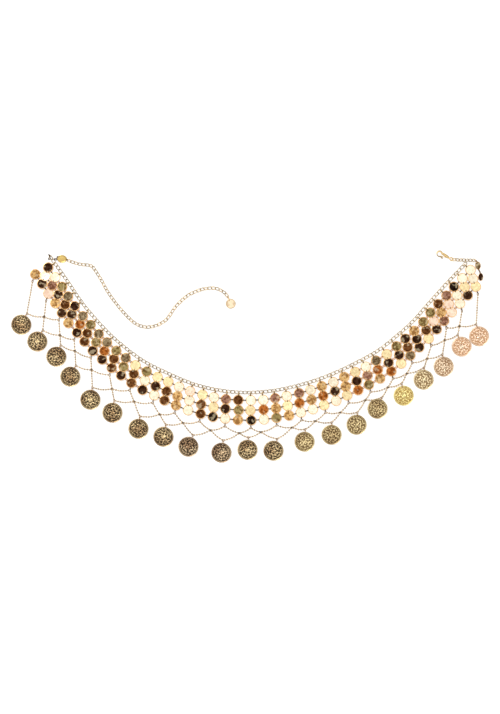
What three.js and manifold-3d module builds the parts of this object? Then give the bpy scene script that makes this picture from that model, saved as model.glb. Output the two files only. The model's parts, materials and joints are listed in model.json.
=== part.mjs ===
// Coin belt laid flat: a waist chain, three rows of linked discs, a net of fine
// chain and a fringe of coins on jump rings, with a tag, an extension chain and
// a lobster clasp at its ends. Millimetres, +Z up, underside on z = 0.
import * as THREE from "three";
import { mergeVertices } from "three/addons/utils/BufferGeometryUtils.js";
import Module from "manifold-3d";

const wasm = await Module();
wasm.setup();

// ---- driving dimensions ----
const GAP = 0.3; // clearance between neighbouring pieces
const COLUMNS = 45, ROWS = 3, COLUMN_PITCH = 15.0, COLUMN_SHIFT = -3.5;
const DISC_R = 6.3, DISC_T = 0.8, LINK_W = 1.8;
const FIRST_COLUMN = [1, 1, 0]; // the two upper rows start one column later
const ROW_1_OFFSET = 10.0, ROW_PITCH_END = 11.2, ROW_PITCH_MID = 12.8;
const DROP_DOWN = 0.6, DROP_OUT = 0.4; // how a column hangs: straight down and square to the waist
const NET_DROP = 9.6, NET_W = 1.0, NET_T = 1.0;
const CHAIN_W = 4.8, CHAIN_T = 1.8;
const EXT_W = 3.0, EXT_T = 1.4;
const COIN_R = 12.4, COIN_T = 1.0, RING_R = 1.9, RING_WIRE = 0.42, RING_Z = 2.35;
const HOLE_R = 0.85, COIN_LIP = 0.2, COIN_REACH = 15.6;
const END_DISC_R = 6.2, END_DISC_T = 0.8, END_DISC = [-24.6, 67.3];
const TAG = [-240.6, 124.7], TAG_RX = 6.2, TAG_RY = 5.0, TAG_T = 1.2;
const CLASP_EYE = [257.3, 124.7], CLASP_TIP = [236.2, 134.0], CLASP_T = 2.6;
const CLASP_CHAIN_START = [287.0, 122.8], GATE_R = 6.6; // the gate's reach from its pin
const END_PAIR = [[291.6, 116.2, 3.6, 5.2], [295.2, 101.6, 3.2, 5.0]]; // centres and half sizes
const SEGMENTS = [[0, 8], [9, 17], [18, 26], [27, 35], [36, 44]];
const NET_CUTS = [4, 8, 13, 17];

// Centre line of the waist chain, left end to right end
const WAIST = [[-256.5, 129.0], [-252.2, 122.8], [-234.6, 97.8], [-213.4, 66.8], [-189.8, 39.2], [-166.4, 16.8],
  [-136.6, -5.6], [-102.4, -22.8], [-68.2, -36.6], [-34.2, -44.0], [-2.2, -46.2], [27.8, -44.0],
  [59.8, -37.6], [93.8, -27.0], [128.0, -12.0], [162.2, 6.5], [187.8, 26.4], [209.0, 45.6],
  [230.4, 70.0], [251.8, 93.6], [272.0, 114.8], [277.2, 120.1]];
// Route of the extension chain inside the curve
const EXTENSION = [[-233.9, 123.2], [-219.8, 118.5], [-203.8, 116.0], [-198.4, 110.6],
  [-189.8, 96.8], [-181.4, 81.8], [-170.6, 66.8], [-157.8, 52.0], [-145.0, 41.2], [-132.2, 37.6],
  [-119.4, 39.8], [-106.6, 47.6], [-96.0, 62.6], [-86.4, 72.6], [-76.8, 79.6], [-64.0, 85.0],
  [-53.4, 87.2], [-42.6, 86.7], [-33.0, 81.8], [-28.2, 75.9]];
// Coin centres, and how far each hangs from straight down, in degrees (+ to the right)
const COINS = [[-292.5, 40.8, -26], [-272.0, 19.3, -25], [-247.7, -0.1, -20], [-229.8, -25.7, -26],
  [-204.2, -55.2, -9], [-176.0, -71.8, -8], [-142.7, -92.3, -6], [-110.7, -102.5, -11],
  [-78.7, -115.3, -21], [-36.5, -123.0, -8], [-3.2, -119.2, -4], [30.1, -120.4, -18],
  [69.8, -108.9, -3], [104.3, -100.0, -1], [136.3, -87.2, -4], [163.2, -66.7, -22],
  [196.5, -50.0, 9], [222.1, -29.6, -3], [247.7, -12.9, 5], [270.7, 12.7, 18], [293.0, 25.9, 13]];

// ---- plane geometry helpers ----
const add = (a, b, k = 1) => [a[0] + b[0] * k, a[1] + b[1] * k];
const sub = (a, b) => [a[0] - b[0], a[1] - b[1]];
const len = (a) => Math.hypot(a[0], a[1]);
const unit = (a) => [a[0] / len(a), a[1] / len(a)];
const side = (a) => [-a[1], a[0]];

// A smooth line through points, measured by arc length
function smoothLine(points, steps = 24) {
  const curve = new THREE.CatmullRomCurve3(
    points.map(([x, y]) => new THREE.Vector3(x, y, 0)), false, "catmullrom", 0.5);
  const n = (points.length - 1) * steps;
  const dense = [];
  for (let i = 0; i <= n; i++) {
    const p = curve.getPoint(i / n);
    dense.push([p.x, p.y]);
  }
  const acc = [0];
  for (let i = 1; i <= n; i++) acc.push(acc[i - 1] + len(sub(dense[i], dense[i - 1])));
  const at = (s) => {
    let i = 0;
    while (i < n - 1 && acc[i + 1] < s) i++;
    const t = (s - acc[i]) / (acc[i + 1] - acc[i]);
    const d = sub(dense[i + 1], dense[i]);
    return { p: add(dense[i], d, t), t: unit(d) };
  };
  return { length: acc[n], at };
}

// ---- solid helpers ----
function toSolid(geometry) {
  const g = geometry.index ? geometry.toNonIndexed() : geometry;
  g.deleteAttribute("normal");
  g.deleteAttribute("uv");
  const m = mergeVertices(g, 1e-4);
  return new wasm.Manifold(new wasm.Mesh({
    numProp: 3,
    vertProperties: new Float32Array(m.attributes.position.array),
    triVerts: new Uint32Array(m.index.array),
  }));
}

// A flat plate: an outline, with holes if any, from z0 to z1
function plate(outline, z0, z1, holes = []) {
  const shape = new THREE.Shape(outline.map(([x, y]) => new THREE.Vector2(x, y)));
  for (const h of holes) shape.holes.push(new THREE.Path(h.map(([x, y]) => new THREE.Vector2(x, y))));
  const g = new THREE.ExtrudeGeometry(shape, { depth: z1 - z0, bevelEnabled: false });
  g.translate(0, 0, z0);
  return toSolid(g);
}

function polygon(centre, rx, ry, n, turn = 0) {
  const pts = [];
  for (let i = 0; i < n; i++) {
    const a = turn + (i / n) * Math.PI * 2;
    pts.push([centre[0] + rx * Math.cos(a), centre[1] + ry * Math.sin(a)]);
  }
  return pts;
}

function bar(a, b, width, z0, z1) {
  const w = side(unit(sub(b, a)));
  return plate([add(a, w, -width / 2), add(b, w, -width / 2), add(b, w, width / 2), add(a, w, width / 2)], z0, z1);
}

function strip(line, s0, s1, width, step, z1) {
  const n = Math.max(1, Math.round((s1 - s0) / step));
  const left = [], right = [];
  for (let i = 0; i <= n; i++) {
    const { p, t } = line.at(s0 + ((s1 - s0) * i) / n);
    left.push(add(p, side(t), width / 2));
    right.push(add(p, side(t), -width / 2));
  }
  return plate([...right, ...left.reverse()], 0, z1);
}

function union(list) {
  let out = list[0];
  for (const s of list.slice(1)) out = out.add(s);
  return out;
}

// A jump ring standing on edge at a vertex, in the plane of the hang direction
function standingRing(vertex, dir) {
  const centre = add(vertex, dir, 2.9);
  const g = new THREE.TorusGeometry(RING_R, RING_WIRE, 4, 8);
  g.applyMatrix4(new THREE.Matrix4().makeRotationX(Math.PI / 2));
  g.applyMatrix4(new THREE.Matrix4().makeRotationZ(Math.atan2(dir[1], dir[0])));
  g.applyMatrix4(new THREE.Matrix4().makeTranslation(centre[0], centre[1], RING_Z));
  return toSolid(g).add(bar(add(vertex, dir, -0.5), add(vertex, dir, 2.1), 1.6, 0, 1.2));
}

// A round plate threaded on a standing ring, tipped so that its far edge rests on the surface
function hangingDisc(vertex, dir, radius, thick, sides) {
  const outline = polygon([COIN_LIP + radius, 0], radius, radius, sides);
  const hole = polygon([RING_R, 0], HOLE_R, HOLE_R, 6).reverse();
  const shape = new THREE.Shape(outline.map(([x, y]) => new THREE.Vector2(x, y)));
  shape.holes.push(new THREE.Path(hole.map(([x, y]) => new THREE.Vector2(x, y))));
  const g = new THREE.ExtrudeGeometry(shape, { depth: thick, bevelEnabled: false });
  g.translate(0, 0, -thick / 2);
  const reach = COIN_LIP + 2 * radius;
  const tip = Math.asin((RING_Z - thick / 2) / reach);
  g.applyMatrix4(new THREE.Matrix4().makeRotationY(tip));
  g.applyMatrix4(new THREE.Matrix4().makeRotationZ(Math.atan2(dir[1], dir[0])));
  const c = add(vertex, dir, 2.9);
  const low = thick / 2 * (1 - Math.cos(tip));
  g.applyMatrix4(new THREE.Matrix4().makeTranslation(c[0], c[1], RING_Z - low));
  return toSolid(g);
}

// ---- layout ----
const waist = smoothLine(WAIST);
const columnAt = (c) => waist.length / 2 + COLUMN_SHIFT + (c - (COLUMNS - 1) / 2) * COLUMN_PITCH;
const columns = [];
for (let c = 0; c < COLUMNS; c++) {
  const { p, t } = waist.at(columnAt(c));
  const out = [t[1], -t[0]];
  const drop = unit([DROP_OUT * out[0], -DROP_DOWN + DROP_OUT * out[1]]);
  const pitch = ROW_PITCH_END + (ROW_PITCH_MID - ROW_PITCH_END) * Math.max(0, 1 - Math.abs(c - 22) / 14);
  const row1 = add(p, out, ROW_1_OFFSET);
  const centres = [row1, add(row1, drop, pitch), add(row1, drop, 2 * pitch)];
  columns.push({ out, drop, pitch, centres, net: add(centres[2], drop, NET_DROP) });
}
const uppers = columns.filter((_, c) => c % 2 === 0);
const coins = COINS.map(([x, y, swing]) => {
  const a = THREE.MathUtils.degToRad(swing);
  const dir = [Math.sin(a), -Math.cos(a)];
  return { dir, vertex: add([x, y], dir, -COIN_REACH) };
});

// ---- materials ----
const metal = (name, color, roughness) =>
  new THREE.MeshStandardMaterial({ name, color, metalness: 1, roughness });
const champagne = metal("chain gold", 0xd8b878, 0.3);
const tones = [metal("olive gold disc", 0xb9a378, 0.22), metal("copper gold disc", 0xb98552, 0.22),
  metal("pale gold disc", 0xdcc08a, 0.2)];
const netGold = metal("net gold", 0xd2b070, 0.35);
const coinGold = metal("antique coin gold", 0xbd9a55, 0.4);
const tagGold = metal("tag gold", 0xe0b850, 0.28);

// ---- pieces ----
const belt = new THREE.Group();
belt.name = "coin belt";

function piece(name, solid, material, userData = {}) {
  const mesh = solid.getMesh();
  const g = new THREE.BufferGeometry();
  g.setAttribute("position", new THREE.BufferAttribute(new Float32Array(mesh.vertProperties), 3));
  g.setIndex(new THREE.BufferAttribute(new Uint32Array(mesh.triVerts), 1));
  const m = new THREE.Mesh(g, material);
  m.name = name;
  m.userData = userData;
  belt.add(m);
}

const letter = (i) => "abcde"[i];

// Waist chain, in five lengths that meet between columns
SEGMENTS.forEach(([c0, c1], k) => {
  const s0 = k === 0 ? 0 : (columnAt(c0) + columnAt(c0 - 1)) / 2 + GAP / 2;
  const s1 = k === SEGMENTS.length - 1 ? waist.length : (columnAt(c1) + columnAt(c1 + 1)) / 2 - GAP / 2;
  piece(`waist_chain_${letter(k)}`, strip(waist, s0, s1, CHAIN_W, 9.7, CHAIN_T), champagne);
});

// Three rows of discs, each row in five lengths; the links along a row are part of it
const angleOf = (d) => Math.atan2(d[1], d[0]);
const around = (centre, r, a) => [centre[0] + r * Math.cos(a), centre[1] + r * Math.sin(a)];

function rowOutline(r, c0, c1, grow = 0) {
  const R = DISC_R + grow, linkW = LINK_W + 2 * grow;
  const lower = [], upper = [];
  const half = Math.asin(linkW / 2 / R);
  for (let c = c0; c <= c1; c++) {
    const col = columns[c], at = col.centres[r];
    const next = c + 1 < COLUMNS ? columns[c + 1].centres[r] : null;
    const prev = c > 0 ? columns[c - 1].centres[r] : null;
    const toNext = next ? angleOf(sub(next, at)) : angleOf(sub(at, prev));
    const toPrev = (prev ? angleOf(sub(prev, at)) : angleOf(sub(at, next)) + 2 * Math.PI);
    // lower side: from the previous disc's link round to the next one's
    let from = toPrev + half, to = toNext - half;
    while (to < from) to += 2 * Math.PI;
    for (let i = 0; i <= 3; i++) lower.push(around(at, R, from + ((to - from) * i) / 3));
    // upper side, back from the next disc's link, with the link that reaches up
    from = toNext + half;
    to = toPrev - half;
    while (to < from) to += 2 * Math.PI;
    const up = r === 0 ? [-col.out[0], -col.out[1]] : [-col.drop[0], -col.drop[1]];
    const reach = ROW_1_OFFSET - CHAIN_W / 2 - GAP;
    const back = [];
    let mid = angleOf(up);
    while (mid < from) mid += 2 * Math.PI;
    const tongue = grow === 0 && r === 0;
    back.push(around(at, R, from));
    const inner = [from + (to - from) / 3, from + ((to - from) * 2) / 3];
    const before = inner.filter((q) => q < mid - half * 1.5), after = inner.filter((q) => q > mid + half * 1.5);
    if (tongue) {
      const w = side(up);
      for (const q of before) back.push(around(at, R, q));
      back.push(around(at, R * 0.97, mid - half), add(add(at, up, reach), w, -linkW / 2),
        add(add(at, up, reach), w, linkW / 2), around(at, R * 0.97, mid + half));
      for (const q of after) back.push(around(at, R, q));
    } else for (const q of inner) back.push(around(at, R, q));
    back.push(around(at, R, to));
    if (c === c1 && next) {
      // half a link reaches for the next length
      const d = unit(sub(next, at)), w = side(d), tip = add(next, d, -R - GAP);
      lower.push(add(tip, w, -linkW / 2));
      back.unshift(add(tip, w, linkW / 2));
    }
    upper.push(back);
  }
  return [...lower, ...upper.reverse().flat()];
}

// the room a row needs: the row or net below it is cut back from this, where it lies under its discs
const roomOf = (r) => plate(rowOutline(r, FIRST_COLUMN[r], COLUMNS - 1, GAP), -1, 3);

for (let r = 0; r < ROWS; r++) {
  const above = r > 0 ? roomOf(r - 1) : null;
  SEGMENTS.forEach(([c0, c1], k) => {
    const row = plate(rowOutline(r, Math.max(c0, FIRST_COLUMN[r]), c1), 0, DISC_T);
    piece(`disc_row_${r + 1}_${letter(k)}`, above ? row.subtract(above) : row, tones[r]);
  });
}

// Two small discs hung on edge past the last column, with the links that carry them
{
  const [[ax, ay, aw, ah], [bx, by, bw, bh]] = END_PAIR;
  piece("disc_end_pair", union([
    plate(polygon([ax, ay], aw, ah, 14), 0, DISC_T),
    plate(polygon([bx, by], bw, bh, 14), 0, DISC_T),
    bar([ax - 0.6, ay + 2], [CLASP_CHAIN_START[0] + 1.3, CLASP_CHAIN_START[1] + 0.2], LINK_W, 0, DISC_T),
    bar([ax + 0.4, ay - ah + 1.2], [bx, by + bh - 1.2], LINK_W, 0, DISC_T),
  ]), tones[0]);
}

// Net of fine chain with the coin rings at its lower vertices, cut into five lengths
{
  // the strands as a plane graph: points, and which points each one runs to
  const points = [], links = [];
  const point = (p) => points.push(p) - 1;
  const link = (a, b) => links.push([a, b]);
  const top = uppers.map((u) => point(u.net)), low = coins.map((q) => point(q.vertex));
  uppers.forEach((u, i) => link(top[i], point(add(u.net, u.drop, -(NET_DROP - DISC_R * 0.95 - GAP)))));
  const crossing = (i) => {
    const a = uppers[i].net, b = uppers[i + 1].net, lo1 = coins[i].vertex, lo0 = coins[i - 1].vertex;
    const d1 = sub(lo1, a), d2 = sub(lo0, b), w = sub(b, a);
    return add(a, d1, (w[0] * d2[1] - w[1] * d2[0]) / (d1[0] * d2[1] - d1[1] * d2[0]));
  };
  link(top[0], low[0]);
  link(top[22], low[20]);
  for (let i = 1; i <= 20; i++) {
    const x = point(crossing(i));
    link(top[i], x);
    link(x, low[i]);
    link(top[i + 1], x);
    link(x, low[i - 1]);
  }
  // walk round every face, half a strand's width inside it
  const ways = points.map(() => []);
  for (const [a, b] of links) {
    ways[a].push(b);
    ways[b].push(a);
  }
  ways.forEach((w, i) => w.sort((a, b) => angleOf(sub(points[a], points[i])) - angleOf(sub(points[b], points[i]))));
  const seen = new Set(), faces = [];
  for (const [p, q] of links.flatMap(([a, b]) => [[a, b], [b, a]])) {
    let a = p, b = q;
    const face = [];
    while (!seen.has(`${a},${b}`)) {
      seen.add(`${a},${b}`);
      const w = ways[b], next = w[(w.indexOf(a) - 1 + w.length) % w.length];
      const d0 = unit(sub(points[b], points[a])), d1 = unit(sub(points[next], points[b]));
      const n0 = side(d0), n1 = side(d1);
      if (next === a) {
        face.push(add(points[b], n0, NET_W / 2), add(points[b], n0, -NET_W / 2));
      } else {
        const m = [n0[0] + n1[0], n0[1] + n1[1]];
        face.push(add(points[b], m, (NET_W / 2) / Math.max(0.12, (m[0] * m[0] + m[1] * m[1]) / 2)));
      }
      a = b;
      b = next;
    }
    if (face.length) faces.push(face);
  }
  const area = (f) => f.reduce((t, p, i) => {
    const q = f[(i + 1) % f.length];
    return t + (p[0] * q[1] - q[0] * p[1]) / 2;
  }, 0);
  const outer = faces.filter((f) => area(f) < 0), holes = faces.filter((f) => area(f) > 0);
  if (outer.length !== 1) throw new Error(`net has ${outer.length} outlines`);
  let net = plate(outer[0].reverse(), 0, NET_T, holes.map((h) => h.reverse()));
  coins.forEach(({ vertex, dir }) => { net = net.add(standingRing(vertex, dir)); });
  for (const k of NET_CUTS) {
    const a = add(uppers[k].net, sub(uppers[k + 1].net, uppers[k].net), 0.5);
    const b = add(coins[k - 1].vertex, sub(coins[k].vertex, coins[k - 1].vertex), 0.5);
    const x = crossing(k), way = unit(sub(b, a));
    net = net.subtract(bar(add(x, way, -14), add(x, way, 14), GAP + 0.05, -1, 6));
  }
  net = net.subtract(roomOf(ROWS - 1));
  const order = net.decompose().map((s) => {
    const b = s.boundingBox();
    return { s, x: (b.min[0] + b.max[0]) / 2 };
  }).sort((p, q) => p.x - q.x);
  if (order.length !== 5) throw new Error(`net came apart in ${order.length} pieces`);
  order.forEach(({ s }, k) => piece(`net_${letter(k)}`, s, netGold));
}

// Coins, each free to swing about its ring
coins.forEach(({ vertex, dir }, i) => {
  const c = add(vertex, dir, 2.9);
  piece(`coin_${String(i + 1).padStart(2, "0")}`, hangingDisc(vertex, dir, COIN_R, COIN_T, 16), coinGold,
    { hinge: [c[0], c[1], RING_Z], axis: [dir[1], -dir[0], 0] });
});

// Oval tag at the left end, with the link that reaches the waist chain
piece("oval_tag", union([
  plate(polygon(TAG, TAG_RX, TAG_RY, 16), 0, TAG_T),
  bar([TAG[0] - 4, TAG[1] - 0.2], [-249.2, 124.45], LINK_W, 0, 1.0),
]), tagGold);

// Extension chain, in five lengths, ending in a small disc on a ring
{
  const ext = smoothLine(EXTENSION);
  const n = 5;
  const last = ext.at(ext.length);
  const dir = unit(sub(END_DISC, last.p));
  for (let k = 0; k < n; k++) {
    const s0 = (ext.length * k) / n + (k ? GAP / 2 : 0);
    const s1 = (ext.length * (k + 1)) / n - (k < n - 1 ? GAP / 2 : 0);
    let s = strip(ext, s0, s1, EXT_W, 7.5, EXT_T);
    if (k === n - 1) s = s.add(standingRing(last.p, dir));
    piece(`extension_${letter(k)}`, s, champagne);
  }
  const c = add(last.p, dir, 2.9);
  piece("end_disc", hangingDisc(last.p, dir, END_DISC_R, END_DISC_T, 12), tagGold,
    { hinge: [c[0], c[1], RING_Z], axis: [dir[1], -dir[0], 0] });
}

// Clasp at the right end: a short chain, the body with its eye and hook, and the lever
{
  const dir = unit(sub(CLASP_TIP, CLASP_EYE));
  const across = side(dir);
  const put = ([u, v]) => add(add(CLASP_EYE, dir, u), across, v);
  const toEye = unit(sub(CLASP_EYE, CLASP_CHAIN_START));
  piece("clasp_chain", bar(CLASP_CHAIN_START, add(CLASP_EYE, toEye, -(2.2 + GAP)), 2.4, 0, EXT_T), champagne);

  const HOOK = [16.3, 0], HOOK_R = 4.3, HOOK_IN = 2.5, MOUTH = [54, 152];
  const arc = (r0, r1, a0, a1, n) => {
    const outer = [], inner = [];
    for (let i = 0; i <= n; i++) {
      const a = THREE.MathUtils.degToRad(a0 + ((a1 - a0) * i) / n);
      outer.push([HOOK[0] + r1 * Math.cos(a), HOOK[1] + r1 * Math.sin(a)]);
      inner.push([HOOK[0] + r0 * Math.cos(a), HOOK[1] + r0 * Math.sin(a)]);
    }
    return [...outer, ...inner.reverse()].map(put);
  };
  // the nose is cut along the circle that the gate's tip sweeps, so the gate swings in past it
  const pin = put([11.9, 1.9]);
  const sweep = (r) => plate(polygon(pin, r, r, 40), -1, CLASP_T + 1);
  const nose = plate([[15.5, 0.3], [22, 0.3], [22, 6], [15.5, 6]].map(put), -1, CLASP_T + 1);
  const body = union([
    plate(polygon(put([0, 0]), 2.2, 2.2, 10), 0, CLASP_T, [polygon(put([0, 0]), 1.0, 1.0, 8).reverse()]),
    plate([[1.6, -1.6], [5.5, -2.9], [10.5, -3.7], [13.9, -3.2], [13.9, -0.8], [11.2, 0.4], [8.6, 2.3], [5.5, 2.3], [1.6, 1.4]].map(put), 0, CLASP_T),
    plate(arc(HOOK_IN, HOOK_R, 180, 360 + MOUTH[0], 14), 0, CLASP_T).subtract(sweep(GATE_R + GAP).intersect(nose)),
  ]);
  piece("clasp_body", body, champagne);
  const lever = union([
    plate(arc(HOOK_IN + 0.4, HOOK_R - 0.2, 32, MOUTH[1] - 6, 7), 0.5, CLASP_T - 0.5).intersect(sweep(GATE_R)),
    plate([[11.3, 1.3], [13.6, 1.4], [14.2, 2.6], [13.2, 3.8], [10.9, 4.8], [9.9, 5.0], [9.8, 4.2], [10.6, 2.6]].map(put), 0.5, CLASP_T - 0.5),
  ]);
  piece("clasp_lever", lever, champagne, { hinge: [pin[0], pin[1], CLASP_T / 2], axis: [0, 0, -1] });
}

// The origin is the middle of the underside
belt.updateMatrixWorld(true);
const box = new THREE.Box3().setFromObject(belt, true);
belt.position.set(-(box.min.x + box.max.x) / 2, -(box.min.y + box.max.y) / 2, 0);
belt.updateMatrixWorld(true);

export default belt;
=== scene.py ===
"""Coin belt: link-by-link chains, bright linked discs, a fine chain net and a fringe of struck coins."""

import json
import math
import random

import bpy
import numpy as np
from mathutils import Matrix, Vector


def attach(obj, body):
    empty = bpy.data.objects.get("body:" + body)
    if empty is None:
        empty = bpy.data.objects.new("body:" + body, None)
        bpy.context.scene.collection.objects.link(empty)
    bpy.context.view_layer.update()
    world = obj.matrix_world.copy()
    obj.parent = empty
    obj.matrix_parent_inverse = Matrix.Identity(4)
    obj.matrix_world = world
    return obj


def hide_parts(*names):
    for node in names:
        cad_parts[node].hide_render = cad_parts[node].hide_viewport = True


bl_info = {
    "name": "Coin Belt",
    "version": (1, 0, 0),
    "blender": (4, 5, 0),
    "location": "View3D > Sidebar > Coin Belt",
    "description": "Builds a metal coin belt with chains, linked discs, a net and hanging coins",
    "category": "Add Mesh",
}

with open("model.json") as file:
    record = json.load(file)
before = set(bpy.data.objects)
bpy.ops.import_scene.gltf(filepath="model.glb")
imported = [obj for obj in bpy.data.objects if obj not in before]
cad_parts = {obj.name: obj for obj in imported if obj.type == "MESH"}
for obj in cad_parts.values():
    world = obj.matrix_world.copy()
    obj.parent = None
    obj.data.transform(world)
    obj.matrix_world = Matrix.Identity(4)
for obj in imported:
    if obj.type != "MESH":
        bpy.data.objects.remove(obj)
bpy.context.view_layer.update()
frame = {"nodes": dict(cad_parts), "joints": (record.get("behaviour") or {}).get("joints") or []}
MM = 0.001

# ---- layout, in millimetres: the same named values as the part's solids ----
COLUMNS, ROWS, COLUMN_PITCH, COLUMN_SHIFT = 45, 3, 15.0, -3.5
ROW_1_OFFSET, ROW_PITCH_END, ROW_PITCH_MID, ROW_PITCH_SPREAD = 10.0, 11.2, 12.8, 14
MID_COLUMN = (COLUMNS - 1) / 2
FIRST_COLUMN = (1, 1, 0)
DROP_DOWN, DROP_OUT, NET_DROP = 0.6, 0.4, 9.6
COIN_REACH, RING_REACH, RING_R, RING_WIRE, RING_Z = 15.6, 2.9, 1.9, 0.42, 2.35
COIN_LIP, HOLE_R = 0.2, 0.85
TAG = (-240.6, 124.7)
END_DISC = (-24.6, 67.3)
CLASP_EYE, CLASP_TIP = (257.3, 124.7), (236.2, 134.0)
CLASP_CHAIN_START = (287.0, 122.8)
END_PAIR = [(291.6, 116.2, 3.6, 5.2), (295.2, 101.6, 3.2, 5.0)]

WAIST = [(-256.5, 129.0), (-252.2, 122.8), (-234.6, 97.8), (-213.4, 66.8), (-189.8, 39.2), (-166.4, 16.8),
         (-136.6, -5.6), (-102.4, -22.8), (-68.2, -36.6), (-34.2, -44.0), (-2.2, -46.2),
         (27.8, -44.0), (59.8, -37.6), (93.8, -27.0), (128.0, -12.0), (162.2, 6.5),
         (187.8, 26.4), (209.0, 45.6), (230.4, 70.0), (251.8, 93.6), (272.0, 114.8), (277.2, 120.1)]
EXTENSION = [(-233.9, 123.2), (-219.8, 118.5), (-203.8, 116.0), (-198.4, 110.6), (-189.8, 96.8),
             (-181.4, 81.8), (-170.6, 66.8), (-157.8, 52.0), (-145.0, 41.2), (-132.2, 37.6),
             (-119.4, 39.8), (-106.6, 47.6), (-96.0, 62.6), (-86.4, 72.6), (-76.8, 79.6),
             (-64.0, 85.0), (-53.4, 87.2), (-42.6, 86.7), (-33.0, 81.8), (-28.2, 75.9)]
COINS = [(-292.5, 40.8, -26), (-272.0, 19.3, -25), (-247.7, -0.1, -20), (-229.8, -25.7, -26),
         (-204.2, -55.2, -9), (-176.0, -71.8, -8), (-142.7, -92.3, -6), (-110.7, -102.5, -11),
         (-78.7, -115.3, -21), (-36.5, -123.0, -8), (-3.2, -119.2, -4), (30.1, -120.4, -18),
         (69.8, -108.9, -3), (104.3, -100.0, -1), (136.3, -87.2, -4), (163.2, -66.7, -22),
         (196.5, -50.0, 9), (222.1, -29.6, -3), (247.7, -12.9, 5), (270.7, 12.7, 18),
         (293.0, 25.9, 13)]

# Plated tones of the discs, linear colour: partly each disc's own plating and partly painted reflection, the light or
# dark a mirror disc would catch; a fourth number below 1 is a face with little painted cloud and glint in it
DISC_TONES_AND_REFLECTIONS = {
    "cream": (1.0, 0.92, 0.74, 0.25), "pale": (1.0, 0.84, 0.50, 0.3), "pink": (1.0, 0.76, 0.62, 0.3),
    "tan": (0.70, 0.44, 0.18), "olive": (0.33, 0.255, 0.105), "grey": (0.27, 0.205, 0.12),
    "rose": (0.38, 0.20, 0.14), "copper": (0.50, 0.16, 0.032), "brown": (0.165, 0.066, 0.022),
    "dark": (0.055, 0.024, 0.013), "black": (0.020, 0.011, 0.008),
}
# For each stretch of columns: first and last column, and the tones (own colour and painted reflection together) each
# row repeats in order
ZONES = [
    (0, 2, ("cream dark cream", "tan cream rose", "tan dark pink")),
    (3, 5, ("olive grey dark", "dark brown", "tan dark")),
    (6, 11, ("grey olive grey", "copper brown olive", "dark brown dark")),
    (12, 14, ("pale olive", "brown cream dark", "brown dark cream")),
    (15, 18, ("pale cream pink", "brown tan cream", "brown tan cream")),
    (19, 22, ("cream rose brown", "pale dark olive", "black cream tan")),
    (23, 26, ("cream rose", "copper tan pale", "cream olive tan")),
    (27, 30, ("cream tan", "tan copper dark", "cream pale")),
    (31, 34, ("pale cream grey", "dark rose copper", "copper olive tan")),
    (35, 38, ("olive dark tan", "dark brown", "pale grey dark")),
    (39, 41, ("olive brown rose", "pink tan", "dark rose pink")),
    (42, 44, ("black cream cream", "cream pale", "cream dark pale")),
]
# Coin tones, the fourth number being how dark the hollows stay and how strong the broad patches of painted shade are
COIN_TONES = {
    "antique": (0.72, 0.52, 0.26, 1.0), "umber": (0.64, 0.45, 0.26, 1.0), "brass": (0.80, 0.63, 0.31, 0.75),
    "yellow": (1.0, 0.86, 0.34, 0.30), "straw": (0.95, 0.79, 0.48, 0.55), "blush": (0.98, 0.77, 0.55, 0.45),
    "rose": (1.0, 0.75, 0.56, 0.12),
}
# The coins' tones from the tag end to the clasp end
COIN_RUN = ("antique " * 8 + "umber umber antique antique " + "brass " * 4 + "yellow straw blush rose rose").split()

# ---- shapes and looks shared by the builders ----
DISC_Z = 1.62
DISC_FACE = [(0.12, -0.16), (0.35, -0.15), (0.6, -0.10), (0.8, -0.03), (0.91, 0.04), (0.965, 0.03), (1.0, -0.06)]
END_DISC_R, END_DISC_SHEET = 6.2, 0.6
END_DISC_FACE = [(0.03, -0.12), (0.3, -0.11), (0.6, -0.08), (0.8, -0.03), (0.92, 0.06), (0.97, 0.05), (1.0, -0.02)]
TAG_RX, TAG_RY, TAG_SHEET = 6.2, 5.0, 0.8
TAG_FACE = [(0.10, 0.30), (0.30, 0.28), (0.55, 0.20), (0.72, 0.08), (0.80, 0.10), (0.86, 0.36), (0.94, 0.38),
            (1.0, 0.10)]
LINK_ROLL = 0.4
WARM_COLUMNS, WARM_RING = (range(2, 13), range(30, 42)), (0.52, 0.25, 0.09)
NET_PLATING = (0.66, 0.51, 0.33)
# The end disc's tone, and its rim colour, which is a painted highlight
END_DISC_TONE, END_DISC_RIM_HIGHLIGHT = (0.98, 0.80, 0.56, 0.55), (0.62, 0.44, 0.24)
# Leaves struck on a coin, ring by ring: how many, how far out, length, width and lean
LEAVES = ((9, 0.40, 0.15, 0.062, 1.0), (9, 0.50, 0.12, 0.045, -0.7), (17, 0.68, 0.125, 0.050, 0.95),
          (13, 0.79, 0.07, 0.032, 2.0))
BERRIES = 46
# The room's light level from straight below to straight above, and the lamps: name, place, energy, size
ROOM_LEVELS = [(0.0, 0.55), (0.30, 0.30), (0.62, 0.16), (0.80, 0.75), (0.93, 1.0)]
SOFTBOXES = (("key_softbox", (-1.1, 1.3, 1.9), 26, 1.0), ("fill_softbox", (1.5, -0.9, 1.7), 9, 1.2))
CAMERA_BACK, CAMERA_HEIGHT, CAMERA_LENS = 0.77, 2.158, 85.0


def v2(a):
    return np.array(a, float)


def unit(a):
    a = v2(a)
    return a / np.linalg.norm(a)


def side(a):
    return np.array((-a[1], a[0]))


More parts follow.
